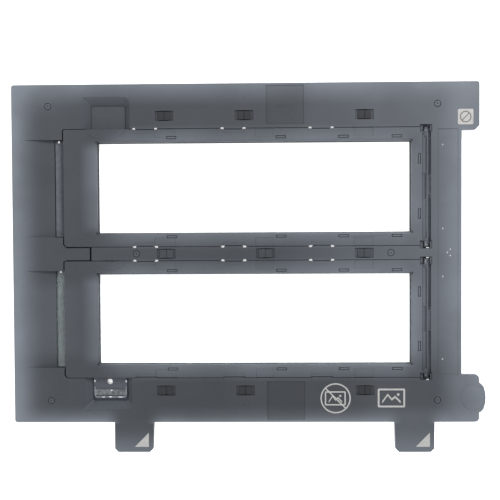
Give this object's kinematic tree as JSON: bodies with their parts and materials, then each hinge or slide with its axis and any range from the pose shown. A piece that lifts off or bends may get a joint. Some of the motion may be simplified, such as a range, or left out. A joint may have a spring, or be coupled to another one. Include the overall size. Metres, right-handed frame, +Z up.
{
  "type": "roll-film scanner carrier",
  "caption": "Flat roll-film carrier for a flatbed scanner, with long film bays under hinged frame covers, a clear insert and turning height feet.",
  "frame": {"origin": "centre of the footprint on the scanner glass, under the feet", "axes": "+X along the film towards the covers' hinges, +Y across the film towards the rear, +Z up"},
  "size_m": [0.3026, 0.2364, 0.0089],
  "materials": {
    "shell_plastic": "fine moulded texture, dark blue-grey",
    "frame_plastic": "fine moulded texture, dark blue-grey",
    "cover_plastic": "fine moulded texture, dark blue-grey",
    "mask_plastic": "satin",
    "foot_plastic": "satin",
    "clear_acrylic": "clear, polished",
    "pin_steel": "plain drawn wire",
    "label_film": "pale printed film"
  },
  "bodies": {
    "base": {"top_shell": "shell_plastic", "under_frame": "frame_plastic", "lower_clear_insert": "clear_acrylic", "orientation_label": "label_film", "upper_cover_rear_pin": "pin_steel", "upper_cover_front_pin": "pin_steel", "lower_cover_rear_pin": "pin_steel", "lower_cover_front_pin": "pin_steel"},
    "upper_cover_assembly": {"upper_cover": "cover_plastic", "upper_pressure_frame": "mask_plastic"},
    "lower_cover_assembly": {"lower_cover": "cover_plastic", "lower_pressure_frame": "mask_plastic"},
    "rear_left_foot_body": {"rear_left_foot": "foot_plastic"},
    "rear_right_foot_body": {"rear_right_foot": "foot_plastic"},
    "front_left_foot_body": {"front_left_foot": "foot_plastic"},
    "front_right_foot_body": {"front_right_foot": "foot_plastic"},
    "middle_left_foot_body": {"middle_left_foot": "foot_plastic"},
    "middle_right_foot_body": {"middle_right_foot": "foot_plastic"}
  },
  "joints": [
    {"name": "upper_cover_hinge", "type": "hinge", "parent": "base", "child": "upper_cover_assembly", "pos_m": [0.1135, 0.0521, 0.00645], "axis": [0, 1, 0], "range_deg": [0, 115]},
    {"name": "lower_cover_hinge", "type": "hinge", "parent": "base", "child": "lower_cover_assembly", "pos_m": [0.1135, -0.0327, 0.00645], "axis": [0, 1, 0], "range_deg": [0, 115]},
    {"name": "rear_left_foot_turn", "type": "hinge", "parent": "base", "child": "rear_left_foot_body", "pos_m": [-0.1277, 0.1043, 0], "axis": [0, 0, 1], "range_deg": [0, 180]},
    {"name": "rear_right_foot_turn", "type": "hinge", "parent": "base", "child": "rear_right_foot_body", "pos_m": [0.1207, 0.1042, 0], "axis": [0, 0, 1], "range_deg": [0, 180]},
    {"name": "front_left_foot_turn", "type": "hinge", "parent": "base", "child": "front_left_foot_body", "pos_m": [-0.1275, -0.0848, 0], "axis": [0, 0, 1], "range_deg": [0, 180]},
    {"name": "front_right_foot_turn", "type": "hinge", "parent": "base", "child": "front_right_foot_body", "pos_m": [0.1207, -0.0848, 0], "axis": [0, 0, 1], "range_deg": [0, 180]},
    {"name": "middle_left_foot_turn", "type": "hinge", "parent": "base", "child": "middle_left_foot_body", "pos_m": [-0.0717, 0.0097, 0], "axis": [0, 0, 1], "range_deg": [0, 180]},
    {"name": "middle_right_foot_turn", "type": "hinge", "parent": "base", "child": "middle_right_foot_body", "pos_m": [0.0911, 0.0097, 0], "axis": [0, 0, 1], "range_deg": [0, 180]}
  ]
}
